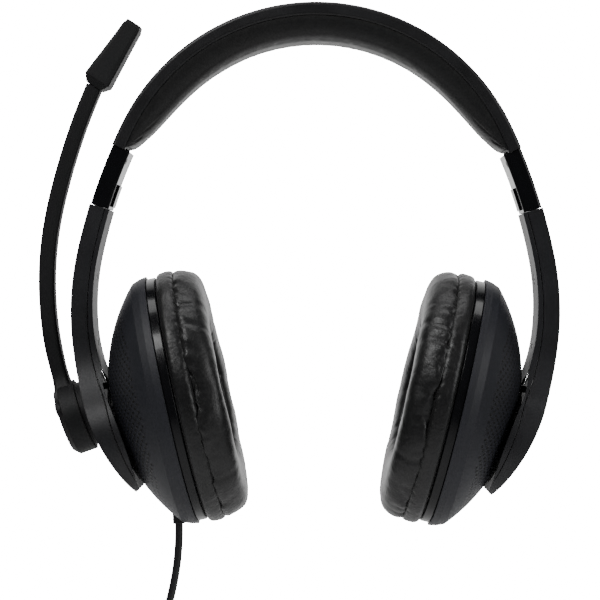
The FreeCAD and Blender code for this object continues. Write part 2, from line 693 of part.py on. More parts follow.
def thick_slab(profile):
    """A profile in the XZ plane, extruded to both sides."""
    slab = profile.extrude(Y * 60)
    slab.translate(Y * -30)
    return slab


def inner_region(extra=0.0):
    """Slab next to the arm's inner line, which parts the inner shell from the outer one."""
    start, end = size("housing_end_ang") - 1.0, size("arm_end_ang") + 1.5
    steps = [start + (end - start) * k / 14 for k in range(15)]
    part_line, deep_line = Part.BSplineCurve(), Part.BSplineCurve()
    near = [at_depth(a, arm_depth_at(min(a, size("arm_end_ang"))) * inner_share(a) - extra) for a in steps]
    far = [at_depth(a, arm_depth_at(min(a, size("arm_end_ang"))) + 6.0) for a in steps]
    part_line.interpolate(near)
    deep_line.interpolate(far)
    edges = [part_line.toShape(), Part.makeLine(near[-1], far[-1]), deep_line.toShape(),
             Part.makeLine(far[0], near[0])]
    return thick_slab(Part.Face(Part.Wire(Part.__sortEdges__(edges))))


def inner_share(ang):
    """Where the parting line runs, as a share of the arm's depth."""
    return 0.76 - 0.06 * max(0.0, min(1.0, (ang - 84.0) / 20.0))


def arm_screw_spots():
    """Angles of the two screws that hold the inner shell."""
    return (82.5, 97.0)


def build_arm(side):
    blank = thick_slab(arm_profile()).common(arm_outline(0.0))
    hollow = thick_slab(arm_profile(size("arm_wall"), size("arm_wall"), 2.4, -2.5)).common(
        arm_outline(size("arm_wall") + 0.3))
    region = inner_region()
    dish = dome_solid(size("dish_gap"), -10.0, size("cup_half") - 2)
    dish = oval(dish)
    dish.transformShape(cup_placement().toMatrix())
    rail = rail_box(0.0, size("rail_up"), size("rail_down"))
    outer_shell = blank.cut(region).cut(hollow).cut(dish)
    inner_shell = blank.common(inner_region(-size("arm_gap"))).cut(hollow).cut(dish)
    bracket = bracket_solid().cut(region).common(thick_slab(arm_profile(size("arm_wall"), 0.0, 0.0)))
    bracket = max(bracket_with_ears(bracket, region).Solids, key=lambda s: s.Volume)
    inner_shell = inner_shell.cut(bracket_envelope())
    screws = []
    for ang in arm_screw_spots():
        depth = arm_depth_at(ang)
        line_in = at_depth(ang, depth)
        tip_dir = inward(ang) * -1
        parting = depth * inner_share(ang)
        boss = cylinder(at_depth(ang, parting), tip_dir, 1.9, parting - 0.8)
        outer_shell = outer_shell.fuse(boss.common(blank)).cut(
            cylinder(at_depth(ang, parting + 0.1), tip_dir, 0.7, parting - 1.0))
        inner_post = cylinder(line_in, tip_dir, 2.6, depth - parting)
        inner_shell = inner_shell.fuse(inner_post.common(blank).common(region))
        inner_shell = inner_shell.cut(cylinder(line_in - tip_dir * 0.5, tip_dir, 1.8, 0.5 + 1.2))
        inner_shell = inner_shell.cut(cylinder(line_in, tip_dir, 0.95, 8.0))
        screws.append(screw(line_in + tip_dir * 0.08, tip_dir, depth - 2.7, 1.7, 0.68))
    outer_shell, inner_shell = outer_shell.cut(rail), inner_shell.cut(rail)
    feature(f"{side}_arm_screws", Part.makeCompound(screws), side)
    outer_shell = outer_shell.cut(cylinder(axle_at(-size("land_deep")), axle_dir(), size("land_rad"), 4.0))
    bore = "0.5" if side == "right" else "sizes.axle_rad + sizes.pin_run"
    if side == "left":
        outer_shell = outer_shell.cut(cylinder(axle_at(-6.0), axle_dir(), value(bore), 12.0))
        outer_shell = outer_shell.cut(cylinder(axle_at(-4.0), axle_dir(), size("axle_rad") + 2.0, 2.0))
    build_land(side, bore)
    outer_shell = outer_shell.cut(bracket)
    inner_shell = inner_shell.cut(bracket)
    feature(f"{side}_arm_outer_shell", largest(outer_shell), side)
    feature(f"{side}_arm_inner_shell", largest(inner_shell), side)
    feature(f"{side}_pivot_bracket", bracket, side)


def largest(shape):
    """The main solid of a boolean result, without slivers."""
    return max(shape.Solids, key=lambda s: s.Volume)


def bracket_envelope():
    """Room around the bracket's ears, so that the inner shell stays clear of them."""
    room = cylinder(V(15.0, 0, 0), X, size("recess_rad") - 0.6, 14.0)
    room.transformShape(cup_placement().toMatrix())
    return room


def bracket_with_ears(bracket, region):
    """Puts back the ears, which pass through the inner shell's opening."""
    full = bracket_solid()
    return bracket.fuse(full.common(bracket_envelope())).removeSplitter()


# ---------------------------------------------------------------- boom
def axle_dir():
    """Boom axis, outwards, drawn for +X."""
    lean = math.radians(size("boom_axis_lean"))
    return V(math.cos(lean), 0, -math.sin(lean))


def axle_at(out):
    return outer(size("boom_ang")) + axle_dir() * out


def axle_frame():
    """Placement with local X outwards along the boom's axis."""
    out = axle_dir()
    return FreeCAD.Placement(axle_at(0.0), FreeCAD.Rotation(out, Y, out.cross(Y), "XYZ"))


def build_land(side, bore):
    """Flat disc let into the arm's curved outer face: a cap on one side, the boom's seat on the other."""
    rad = "sizes.land_rad"
    deep = "-sizes.land_deep"
    if side == "left":
        body = turned_body("boom_pivot_seat", [(deep, bore), (deep, rad), (-0.1, rad), (0.2, rad + " - 0.3"),
                                               (0.2, bore)])
    else:
        body = turned_body("right_arm_cap", [(deep, 0), (deep, rad), (0.1, rad), (0.5, rad + " - 0.4"), (0.5, 0)])
    body.Placement = axle_frame()
    place(body, side)


def boom_line(share):
    """Centre of the boom, and its heading, from foot (0) to mic (1), drawn for +X."""
    low, high = math.radians(size("boom_low_ang")), math.radians(size("boom_top_ang"))
    low_len, high_len = size("boom_low_rad") * low, size("boom_top_rad") * high
    run = share * (low_len + high_len)
    lean = math.radians(-size("boom_lean"))
    x, z = size("boom_foot_x"), size("boom_foot_z")
    for rad, length in ((size("boom_low_rad"), low_len), (size("boom_top_rad"), high_len)):
        step = min(run, length)
        turn = step / rad
        x += rad * (math.cos(lean + turn) - math.cos(lean))
        z += rad * (math.sin(lean + turn) - math.sin(lean))
        lean += turn
        run -= step
        if run <= 0:
            break
    return V(x, 0, z), V(-math.sin(lean), 0, math.cos(lean))


def boom_section(centre, along, thick, width, corner):
    across = V(along.z, 0, -along.x)
    return rounded_section(centre, Y, across, width / 2, thick / 2, corner)


def build_boom():
    """Boom arm with its hub, and the axle that holds it to the arm."""
    hub_from, step, hub_thick = size("hub_from"), size("hub_step"), size("hub_thick")
    hub = cylinder(axle_at(hub_from + step), axle_dir(), size("hub_rad"), hub_thick)
    rims = sorted((e for e in hub.Edges if e.Curve.TypeId == "Part::GeomCircle"),
                  key=lambda e: (e.Curve.Center - axle_at(0.0)).Length)
    hub = hub.makeChamfer(1.9, rims[-1:])
    hub = hub.fuse(cylinder(axle_at(hub_from), axle_dir(), size("hub_neck_rad"), step + 1.5))
    out = axle_dir()
    up = Y.cross(out) if Y.cross(out).z > 0 else out.cross(Y)
    hub_mid = hub_from + step + hub_thick / 2
    sections = [rounded_section(axle_at(hub_mid), Y, out, 9.2, hub_thick / 2 - 0.3, 0.9),
                rounded_section(axle_at(hub_mid + 0.3) + up * 9.0, Y, out, 8.2, hub_thick / 2 - 0.7, 0.9)]
    for share in (0.0, 0.08, 0.2, 0.35, 0.5, 0.65, 0.8, 0.92, 1.0):
        centre, along = boom_line(share)
        sections.append(boom_section(centre, along, size("boom_thick"), size("boom_width"), 1.3))
    stem = Part.makeLoft(sections, True, False)
    stem = stem.cut(cylinder(axle_at(-20.0), out, size("hub_rad") + 1.5, 20.0 + hub_from))
    arm = hub.fuse(stem).removeSplitter()
    arm = arm.cut(cylinder(axle_at(-8.0), out, size("axle_rad") - 0.6, 8.0 + hub_from + 4.0))
    arm = arm.cut(mic_blank()).cut(mic_tail())
    feature("boom_arm", largest(arm), "left")
    rad = "sizes.axle_rad"
    axle = turned_body("boom_axle", [(-2.95, 0), (-2.95, rad + " + 1.6"), (-2.05, rad + " + 1.6"), (-2.05, rad),
                                     ("sizes.hub_from", rad), ("sizes.hub_from", rad + " - 0.6"),
                                     ("sizes.hub_from + 3.9", rad + " - 0.6"), ("sizes.hub_from + 3.9", 0)])
    axle.Placement = axle_frame()
    place(axle, "left")


def mic_frame():
    """Base and direction of the microphone head, drawn for +X."""
    base, _ = boom_line(1.0)
    lean = math.radians(size("mic_lean"))
    return base, V(-math.sin(lean), 0, math.cos(lean))


def mic_blank():
    """Wedge of the microphone head before it is hollowed: wide near its base, slim at its tip."""
    base, along = mic_frame()
    wires = []
    for at, thick, width in ((0.0, 6.4, 9.4), (2.6, size("mic_thick"), size("mic_width")),
                             (size("mic_len"), size("mic_tip_thick"), size("mic_tip_width"))):
        wires.append(boom_section(base + along * at, along, thick, width, 1.0))
    return Part.makeLoft(wires, True, True)


def mic_tail():
    """Tongue of the boom's socket inside the head."""
    base, along = mic_frame()
    return Part.makeLoft([boom_section(base - along * 1.2, along, 3.0, 5.0, 0.6),
                          boom_section(base + along * 4.0, along, 3.0, 5.0, 0.6)], True, True)


def build_mic():
    """Microphone head: housing, capsule and the slotted grille at its tip."""
    base, along = mic_frame()
    length = size("mic_len")
    capsule_at = base + along * (length - 6.8)
    bore = cylinder(base + along * (length - 7.0), along, 2.6, 8.0)
    feature("mic_housing", mic_blank().cut(bore).cut(mic_tail()), "left")
    capsule = bar("mic_capsule", capsule_at, along, "sizes.capsule_rad", "sizes.capsule_len")
    capsule.Label = "mic_capsule"
    doc.recompute()
    place(capsule, "left")
    tip_thick, tip_width = size("mic_tip_thick"), size("mic_tip_width")
    cap = Part.makeLoft([boom_section(base + along * (length + 0.02), along, tip_thick - 0.5, tip_width - 0.5, 0.8),
                         boom_section(base + along * (length + 1.5), along, tip_thick - 1.1, tip_width - 1.2, 0.7)],
                        True, True)
    for k in range(-1, 2):
        cap = cap.cut(cylinder(base + along * (length - 1.0) + Y * (2.4 * k), along, 0.6, 4.0))
    feature("mic_end_grille", cap, "left")


# ---------------------------------------------------------------- cable and plug
def cable_path():
    """Two tangent arcs and a straight end, hanging from the cup, drawn for +X. Gives points and headings."""
    points, x, z, lean = [], size("cable_x"), size("cable_z"), math.radians(-3.0)
    first, second = math.radians(size("cable_lean")), 0.0
    for rad, stop in ((size("cable_bend_rad"), first), (-size("cable_back_rad"), second)):
        steps = 6
        start = lean
        for k in range(steps + 1):
            turn = start + (stop - start) * k / steps
            px = x + rad * (math.cos(start) - math.cos(turn))
            pz = z - rad * (math.sin(turn) - math.sin(start))
            points.append((V(px, 0, pz), V(math.sin(turn), 0, -math.cos(turn))))
        x, z, lean = points[-1][0].x, points[-1][0].z, stop
    return points


def relief_solid():
    """Collar that grips the cable where it leaves the cup, with a flange inside the shell."""
    start, down = cable_path()[0]
    collar = cylinder(start - down * 5.0, down, 2.25, 7.2)
    return collar.fuse(cylinder(start - down * 5.0, down, 3.0, 1.2)).removeSplitter()


def strain_hole():
    """The collar's shape, in the cup's own frame, cut from the left shell."""
    hole = relief_solid()
    hole.transformShape(cup_placement().inverse().toMatrix())
    return hole


def build_cable():
    points = cable_path()
    wires = []
    start, down = points[0]
    wires.append(Part.Wire(Part.makeCircle(size("cable_dia") / 2, start - down * 3.0, down)))
    for k, (at, along) in enumerate(points):
        if k and (at - points[k - 1][0]).Length < 1e-6:
            continue
        wires.append(Part.Wire(Part.makeCircle(size("cable_dia") / 2, at, along)))
    cable = Part.makeLoft(wires, True, False)
    feature("cable", cable, "left")
    feature("cable_strain_relief", largest(relief_solid().cut(cable)), "left")
    build_plug(*points[-1])


def build_plug(at, along):
    """Four-pole 3.5 mm plug in a moulded grip."""
    rad, grip_len = size("plug_rad"), size("plug_body_len")
    wires = [Part.Wire(Part.makeCircle(r, at + along * d, along))
             for d, r in ((0.0, 2.1), (8.0, 2.3), (12.0, size("plug_body_rad") - 0.3),
                          (grip_len - 1.0, size("plug_body_rad")), (grip_len, size("plug_body_rad") - 0.4))]
    grip = Part.makeLoft(wires, True, True)
    grip = grip.cut(cylinder(at - along * 1.0, along, size("cable_dia") / 2, 1.5))
    shank = cylinder(at + along * (grip_len - 8.0), along, rad - 0.5, 8.5)
    feature("plug_grip", grip.cut(shank), "left")
    shoulder = at + along * grip_len
    wall = cylinder(shoulder + along * 0.4, along, rad, size("plug_len") - 3.2)
    tip_from = shoulder + along * (size("plug_len") - 2.8)
    tip = Part.makeLoft([Part.Wire(Part.makeCircle(r, tip_from + along * d, along))
                         for d, r in ((0.0, rad), (0.8, 1.2), (1.6, 1.65), (2.8, 0.5))], True, True)
    bands = []
    for d in (3.3, 6.2, 9.1):
        slot_at = shoulder + along * d
        band = cylinder(slot_at, along, rad, 0.5).cut(cylinder(slot_at, along, rad - 0.5, 0.5))
        bands.append(band)
    metal = shank.fuse(wall).fuse(tip).removeSplitter()
    for band in bands:
        metal = metal.cut(band)
    feature("plug_contacts", metal, "left")
    feature("plug_insulators", Part.makeCompound(bands), "left")


# ---------------------------------------------------------------- build
build_headband()
build_headband_pad()
build_housing_screws()
for side in SIDES:
    build_housing(side)
    build_marker(side)
    build_rail(side)
    build_arm(side)
    build_gimbal(side)
    build_cup_shell(side)
    build_cup_ring(side)
    build_baffle(side)
    build_driver(side)
    build_cushion(side)
build_boom()
build_mic()
build_cable()
doc.recompute()

for obj in doc.Objects:
    if any(word in obj.State for word in ("Invalid", "Error")):
        raise RuntimeError(f"{obj.Label} did not compute: {obj.State}")
os.makedirs("parts", exist_ok=True)
for old in os.listdir("parts"):
    os.remove(os.path.join("parts", old))
for node in nodes:
    shape = node.Shape
    if shape.isNull() or not shape.isValid() or shape.Volume <= 0:
        raise RuntimeError(f"{node.Label} has a bad shape: null {shape.isNull()}, valid {shape.isValid()}")
    shape.exportStep(os.path.join("parts", node.Label + ".step"))
print(len(nodes), "nodes written")
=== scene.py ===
import bpy
import json
import math
import random
import numpy as np
from mathutils import Matrix, Vector, noise


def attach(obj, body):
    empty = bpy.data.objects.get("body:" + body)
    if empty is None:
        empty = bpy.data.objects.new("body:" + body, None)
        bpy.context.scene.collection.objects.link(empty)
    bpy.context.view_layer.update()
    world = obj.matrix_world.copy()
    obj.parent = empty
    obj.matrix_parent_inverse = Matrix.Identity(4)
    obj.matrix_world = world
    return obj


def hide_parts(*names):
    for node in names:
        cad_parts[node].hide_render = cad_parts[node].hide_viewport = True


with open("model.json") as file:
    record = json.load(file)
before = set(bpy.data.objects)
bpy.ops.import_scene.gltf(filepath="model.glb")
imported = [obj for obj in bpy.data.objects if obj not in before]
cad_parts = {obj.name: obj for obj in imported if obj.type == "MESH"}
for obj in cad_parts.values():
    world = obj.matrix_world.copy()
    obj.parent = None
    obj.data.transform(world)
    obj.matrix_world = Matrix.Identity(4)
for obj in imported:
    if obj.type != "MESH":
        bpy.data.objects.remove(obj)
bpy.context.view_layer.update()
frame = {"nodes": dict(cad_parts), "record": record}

NODES = frame["nodes"]
MM = 0.001

# ---------------------------------------------------------------- sizes shared with the CAD, in millimetres
CUP_OFFSET, CUP_TILT = 47.9, math.radians(12.75)   # the cup's centre from the middle, and its lean
CUP_HALF, CUP_OVAL = 45.8, 0.81                    # the cup's half height, and its depth over its height
CUSHION_HOLE = 22.5                                # half height of the opening for the ear
CUSHION_DEPTH, SKIRT_DEPTH, RING_FROM = 18.6, 6.6, 0.4
CROWN_Z = 142.5
ARCS = ((78.0, 64.4), (198.0, 78.6), (101.5, 180.0))   # radius, and where it ends in degrees from the crown
BAND_THICK, BAND_WIDTH, BAND_END_WIDTH = 5.0, 28.0, 20.0
BAND_END = 66.6                                    # in degrees from the crown
PAD_THICK = 8.2


# ---------------------------------------------------------------- shader helpers
class Shader:
    """A material made of nodes, built left to right."""

    def __init__(self, name):
        self.material = bpy.data.materials.new(name)
        self.material.use_nodes = True
        self.tree = self.material.node_tree
        self.main = self.tree.nodes["Principled BSDF"]
        self.coords = self.add("ShaderNodeTexCoord").outputs["Object"]

    def add(self, kind, **settings):
        node = self.tree.nodes.new(kind)
        for key, value in settings.items():
            setattr(node, key, value)
        return node

    def link(self, source, target):
        self.tree.links.new(source, target)

    def feed(self, target, value):
        """Sets a socket to a plain value, or links it to a node's output."""
        if isinstance(value, (int, float, tuple)):
            target.default_value = value
        else:
            self.link(value, target)

    def math(self, operation, a, b=0.0, c=0.0):
        node = self.add("ShaderNodeMath", operation=operation)
        for socket, value in zip(node.inputs, (a, b, c)):
            self.feed(socket, value)
        return node.outputs[0]

    def noise(self, size, detail=3.0, rough=0.55, coords=None, distortion=0.0):
        """Noise whose features are about size metres across."""
        node = self.add("ShaderNodeTexNoise")
        self.link(coords or self.coords, node.inputs["Vector"])
        node.inputs["Scale"].default_value = 1.0 / size
        node.inputs["Detail"].default_value = detail
        node.inputs["Roughness"].default_value = rough
        node.inputs["Distortion"].default_value = distortion
        return node.outputs["Fac"]

    def cells(self, size, feature="F1", randomness=1.0):
        """Cells about size metres across."""
        node = self.add("ShaderNodeTexVoronoi", feature=feature)
        self.link(self.coords, node.inputs["Vector"])
        node.inputs["Scale"].default_value = 1.0 / size
        node.inputs["Randomness"].default_value = randomness
        return node.outputs["Distance"]

    def span(self, value, low_in, high_in, low_out, high_out):
        """Brings a value from one range into another, held at its ends."""
        node = self.add("ShaderNodeMapRange")
        for socket, number in zip(node.inputs, (value, low_in, high_in, low_out, high_out)):
            self.feed(socket, number)
        return node.outputs[0]

    def colour(self, factor, low, high):
        node = self.add("ShaderNodeMix", data_type="RGBA")
        self.feed(node.inputs[0], factor)
        self.feed(node.inputs[6], (*low, 1.0))
        self.feed(node.inputs[7], (*high, 1.0))
        return node.outputs[2]

    def bump(self, height, distance, strength=1.0, normal=None):
        node = self.add("ShaderNodeBump")
        self.feed(node.inputs["Height"], height)
        node.inputs["Distance"].default_value = distance
        node.inputs["Strength"].default_value = strength
        if normal is not None:
            self.link(normal, node.inputs["Normal"])
        return node.outputs["Normal"]

    def edge(self, radius):
        """Normals rounded over sharp edges, as a moulded part has them."""
        node = self.add("ShaderNodeBevel", samples=6)
        node.inputs["Radius"].default_value = radius
        return node.outputs["Normal"]

    def finish(self, **inputs):
        for name, value in inputs.items():
            self.feed(self.main.inputs[name.replace("_", " ")], value)
        return self.material


def moulded(name, dark, light, rough, grain, depth, specular=0.5):
    """Moulded plastic: fine spark-eroded grain, faint broad unevenness, rounded edges."""
    s = Shader(name)
    broad = s.noise(0.012, 4.0)
    fine = s.noise(grain, 2.0, 0.6)
    normal = s.bump(fine, depth, normal=s.edge(0.0003))
    return s.finish(Base_Color=s.colour(s.span(broad, 0.3, 0.7, 0.0, 1.0), dark, light),
                    Roughness=s.span(s.math("ADD", fine, broad), 0.7, 1.3, rough - 0.05, rough + 0.07),
                    Specular_IOR_Level=specular, Normal=normal)


def glossy(name, colour, rough=0.16):
    """Polished plastic with a thin clear coat and the faint ripple of an injection moulding."""
    s = Shader(name)
    ripple = s.noise(0.006, 2.0)
    haze = s.noise(0.0015, 4.0)
    normal = s.bump(ripple, 0.00004, normal=s.edge(0.00025))
    return s.finish(Base_Color=s.colour(ripple, colour, tuple(c * 1.5 for c in colour)),
                    Roughness=s.span(haze, 0.3, 0.7, rough, rough + 0.06), Coat_Weight=0.15,
                    Coat_Roughness=0.04, Specular_IOR_Level=0.3, Normal=normal)


def metal(name, colour, rough=0.3):
    """Rolled or turned metal with fine drawn lines."""
    s = Shader(name)
    stretch = 8.0
    mapping = s.add("ShaderNodeMapping")
    mapping.inputs["Scale"].default_value = (1.0, stretch, stretch)
    s.link(s.coords, mapping.inputs["Vector"])
    lines = s.noise(0.002, 3.0, coords=mapping.outputs[0])
    return s.finish(Base_Color=s.colour(lines, tuple(c * 0.8 for c in colour), colour), Metallic=1.0,
                    Roughness=s.span(lines, 0.3, 0.7, rough - 0.06, rough + 0.1),
                    Normal=s.bump(lines, 0.00002, normal=s.edge(0.0001)))


def leatherette(name, dark, light, rough=0.36, crease=0.00035):
    """Soft coated fabric: pebble grain in cells, broad creases and a low sheen."""
    s = Shader(name)
    pebble = s.cells(0.00085, "SMOOTH_F1")
    fine = s.noise(0.0004, 3.0, 0.6)
    creases = s.noise(0.0038, 5.0, 0.55, distortion=0.8)
    broad = s.noise(0.013, 3.0)
    grain = s.bump(s.math("MULTIPLY_ADD", fine, 0.35, pebble), 0.00005, 0.9)
    normal = s.bump(creases, crease, 0.8, grain)
    worn = s.span(s.math("ADD", broad, pebble), 0.5, 1.2, 0.0, 1.0)
    return s.finish(Base_Color=s.colour(worn, dark, light),
                    Roughness=s.span(s.math("ADD", fine, creases), 0.7, 1.3, rough - 0.06, rough + 0.1),
                    Specular_IOR_Level=0.5, Sheen_Weight=0.08, Sheen_Roughness=0.5, Normal=normal)


def knit(name, dark, light):
    """Fine knitted cloth over the driver."""
    s = Shader(name)
    mesh = s.cells(0.0007, randomness=0.25)
    fuzz = s.noise(0.0005, 3.0)
    return s.finish(Base_Color=s.colour(mesh, dark, light), Roughness=0.85, Sheen_Weight=0.3,
                    Normal=s.bump(s.math("ADD", mesh, fuzz), 0.00018, 0.8))


def perforated(name, dark, light, rough):
    """Cup plastic with a staggered grid of small dimples on the dome, away from the trim ring; the dimples
    are pressed in by bump and filled with painted shade, a near-black colour for the shadow inside them.
    """
    s = Shader(name)
    split = s.add("ShaderNodeSeparateXYZ")
    s.link(s.coords, split.inputs[0])
    x, y, z = (split.outputs[k] for k in range(3))
    side = s.math("ABSOLUTE", x)
    cos_tilt, sin_tilt = math.cos(CUP_TILT), math.sin(CUP_TILT)
    shifted = s.math("SUBTRACT", side, CUP_OFFSET * MM)
    outward = s.math("MULTIPLY_ADD", z, -sin_tilt, s.math("MULTIPLY", shifted, cos_tilt))
    upward = s.math("MULTIPLY_ADD", z, cos_tilt, s.math("MULTIPLY", shifted, sin_tilt))
    row_step, column_step, dome_from = 2.55 * MM, 2.75 * MM, 13.4 * MM
    row = s.math("MULTIPLY", upward, 1 / row_step)
    column = s.math("MULTIPLY", y, 1 / column_step)
    dots = None
    for shift in (0.0, 0.5):
        du = s.math("SUBTRACT", s.math("FRACT", s.math("ADD", row, 100.25 + shift)), 0.5)
        dv = s.math("SUBTRACT", s.math("FRACT", s.math("ADD", column, 100.25 + shift)), 0.5)
        gap = s.math("SQRT", s.math("ADD", s.math("MULTIPLY", du, du), s.math("MULTIPLY", dv, dv)))
        spot = s.span(gap, 0.15, 0.22, 1.0, 0.0)
        dots = spot if dots is None else s.math("MAXIMUM", dots, spot)
    zone = s.span(outward, dome_from, dome_from + 0.5 * MM, 0.0, 1.0)
    dots = s.math("MULTIPLY", dots, zone)
    fine = s.noise(0.00035, 2.0, 0.6)
    broad = s.noise(0.014, 3.0)
    normal = s.bump(fine, 0.00002, normal=s.edge(0.0003))
    normal = s.bump(s.math("SUBTRACT", 1.0, dots), 0.0004, 1.0, normal)
    base = s.colour(s.span(broad, 0.3, 0.7, 0.0, 1.0), dark, light)
    # painted shade: the dimples are coloured near-black in place of the shadow that falls inside each recess
    hole = s.add("ShaderNodeMix", data_type="RGBA")
    s.link(dots, hole.inputs[0])
    s.link(base, hole.inputs[6])
    hole.inputs[7].default_value = (0.001, 0.001, 0.0012, 1.0)
    return s.finish(Base_Color=hole.outputs[2], Roughness=s.span(fine, 0.3, 0.7, rough - 0.04, rough + 0.06),
                    Normal=normal)


# Each moulded plastic: darkest and lightest colour, roughness, size and depth of its grain.
MATERIALS = {
    "shell_plastic": moulded("shell_plastic", (0.010, 0.010, 0.011), (0.014, 0.014, 0.016),
                             0.40, 0.0004, 0.00002),
    "arm_plastic": moulded("arm_plastic", (0.009, 0.009, 0.011), (0.012, 0.012, 0.015),
                           0.47, 0.0004, 0.000015),
    "cup_plastic": perforated("cup_plastic", (0.014, 0.015, 0.021), (0.018, 0.019, 0.026), 0.50),
    "gloss_trim": glossy("gloss_trim", (0.004, 0.004, 0.005)),
    "boom_plastic": moulded("boom_plastic", (0.006, 0.006, 0.007), (0.009, 0.009, 0.010),
                            0.58, 0.0005, 0.00003, specular=0.35),
    "mic_plastic": moulded("mic_plastic", (0.008, 0.008, 0.009), (0.011, 0.011, 0.012),
                           0.55, 0.0005, 0.00003, specular=0.35),
    "leatherette": leatherette("leatherette", (0.005, 0.005, 0.0055), (0.009, 0.009, 0.0095)),
    "pad_leatherette": leatherette("pad_leatherette", (0.005, 0.005, 0.0055), (0.008, 0.008, 0.0085),
                                   rough=0.45, crease=0.00006),
    "foam": knit("foam", (0.05, 0.05, 0.055), (0.09, 0.09, 0.1)),
    "driver_fabric": knit("driver_fabric", (0.010, 0.010, 0.012), (0.022, 0.022, 0.025)),
    "inner_plastic": moulded("inner_plastic", (0.02, 0.02, 0.02), (0.03, 0.03, 0.03),
                             0.5, 0.0006, 0.00002),
    "spring_steel": metal("spring_steel", (0.5, 0.5, 0.52)),
    "screw_steel": metal("screw_steel", (0.10, 0.10, 0.105), 0.35),
    "magnet_steel": metal("magnet_steel", (0.5, 0.5, 0.52), 0.25),
    "diaphragm_film": glossy("diaphragm_film", (0.25, 0.25, 0.2), 0.15),
    "cable_jacket": moulded("cable_jacket", (0.010, 0.010, 0.011), (0.014, 0.014, 0.015),
                            0.38, 0.0005, 0.00001),
    "contact_metal": metal("contact_metal", (0.9, 0.68, 0.3), 0.16),
    "capsule_metal": metal("capsule_metal", (0.7, 0.7, 0.72), 0.3),
    "insulator_ring": moulded("insulator_ring", (0.01, 0.01, 0.01), (0.02, 0.02, 0.02),
                              0.4, 0.0005, 0.00001),
}


def dress(obj, slot):
    obj.data.materials.clear()
    obj.data.materials.append(MATERIALS[slot])


for part in frame["record"]["subparts"]:
    dress(NODES[part["node"]], part["material_slot"])


# ---------------------------------------------------------------- frames and outlines
def cup_matrix(side):
    """From a cup's own frame in millimetres, X outwards and Z up the cup, to the headset's in metres."""
    lean = Matrix.Rotation(CUP_TILT, 4, "Y")
    base = Matrix.Translation((CUP_OFFSET * MM, 0, 0)) @ lean @ Matrix.Scale(MM, 4)
    return base if side == "right" else Matrix.Rotation(math.pi, 4, "Z") @ base


def outer(angle):
    """Point on the band's outer line in millimetres, and the direction into the band, at an angle in degrees
    from the crown."""
    turned, x, z = 0.0, 0.0, CROWN_Z
    for radius, end in ARCS:
        stop = math.radians(min(abs(angle), end))
        x += radius * (math.sin(stop) - math.sin(turned))
        z -= radius * (math.cos(turned) - math.cos(stop))
        turned = stop
        if abs(angle) <= end:
            break
    sign = 1 if angle >= 0 else -1
    return Vector((x * sign, 0, z)), Vector((-math.sin(turned) * sign, 0, -math.cos(turned)))


def mesh_object(name, points, faces, smooth=True):
    mesh = bpy.data.meshes.new(name)
    mesh.from_pydata([tuple(p) for p in points], [], faces)
    mesh.update()
    if smooth:
        mesh.shade_smooth()
    obj = bpy.data.objects.new(name, mesh)
    bpy.context.scene.collection.objects.link(obj)
    return obj


def grid_faces(rings, per_ring, closed):
    """Quads between successive rings of points; a closed grid also joins its last ring to its first."""
    faces = []
    for i in range(rings if closed else rings - 1):
        j = (i + 1) % rings
        for k in range(per_ring - 1):
            faces.append((i * per_ring + k, i * per_ring + k + 1, j * per_ring + k + 1, j * per_ring + k))
    return faces


SIM_SCALE = 25.0   # cloth is simulated this many times larger, where the solver's tolerances suit it
SIM_FRAMES = 18
STRETCH_STIFFNESS, BENDING_STIFFNESS = 12.0, 0.6


def puff(obj, pin_weights, pressure, shrink, cap):
    """Blows a piece up with cloth and keeps the result. Points are in millimetres; cap limits their travel.
    A negative shrink gives the cloth spare length, which makes it pucker."""
    mesh = obj.data
    rest = np.array([v.co for v in mesh.vertices], float)
    mesh.vertices.foreach_set("co", (rest * SIM_SCALE * MM).astype(np.float32).ravel())
    mesh.update()
    group = obj.vertex_groups.new(name="held")
    for index, weight in enumerate(pin_weights):
        if weight > 0:
            group.add([index], float(weight), "REPLACE")
    cloth = obj.modifiers.new("puff", "CLOTH")
    settings = cloth.settings
    settings.vertex_group_mass = "held"
    settings.use_pressure = True
    settings.uniform_pressure_force = pressure
    settings.shrink_min = shrink
    settings.tension_stiffness = STRETCH_STIFFNESS
    settings.compression_stiffness = STRETCH_STIFFNESS
    settings.shear_stiffness = STRETCH_STIFFNESS * 0.4
    settings.bending_stiffness = BENDING_STIFFNESS
    settings.quality = 6
    settings.mass = 0.25
    settings.effector_weights.gravity = 0.0
    settings.air_damping = 2.0
    cloth.collision_settings.use_collision = False
    scene = bpy.context.scene
    for number in range(1, SIM_FRAMES + 1):
        scene.frame_set(number)
    depsgraph = bpy.context.evaluated_depsgraph_get()
    shaped = obj.evaluated_get(depsgraph).data
    moved = np.array([v.co for v in shaped.vertices], float) / (SIM_SCALE * MM)
    obj.modifiers.remove(cloth)
    obj.vertex_groups.clear()
    scene.frame_set(1)
    step = moved - rest
    length = np.linalg.norm(step, axis=1, keepdims=True)
    limited = rest + step * np.minimum(1.0, cap / np.maximum(length, 1e-9))
    mesh.vertices.foreach_set("co", limited.astype(np.float32).ravel())
    mesh.update()
    return limited


def twice_around(points, around, across):
    """Doubles the columns of a closed grid with smooth points in between."""
    grid = np.array(points, float).reshape(around, across, 3)
    before, after, later = (np.roll(grid, shift, axis=0) for shift in (1, -1, -2))
    between = (9 * (grid + after) - before - later) / 16
    return np.stack((grid, between), axis=1).reshape(around * 2 * across, 3)


# ---------------------------------------------------------------- ear cushions
CUSHION_COLUMNS, CUSHION_ROWS = 168, 26   # the cushion's cloth, around and over
SKIN_LENGTH = 52.0                        # of the cushion, from the seam to its inner edge, in millimetres
GATHER_WIDTH, GATHER_REACH = 0.027, 0.085   # half width of a gather and how far it is felt, in radians


def oval_point(out, radius, angle):
    """Point in the cup frame at a radius of the oval; the radius is the one up the cup."""
    return Vector((out, radius * CUP_OVAL * math.sin(angle), radius * math.cos(angle)))


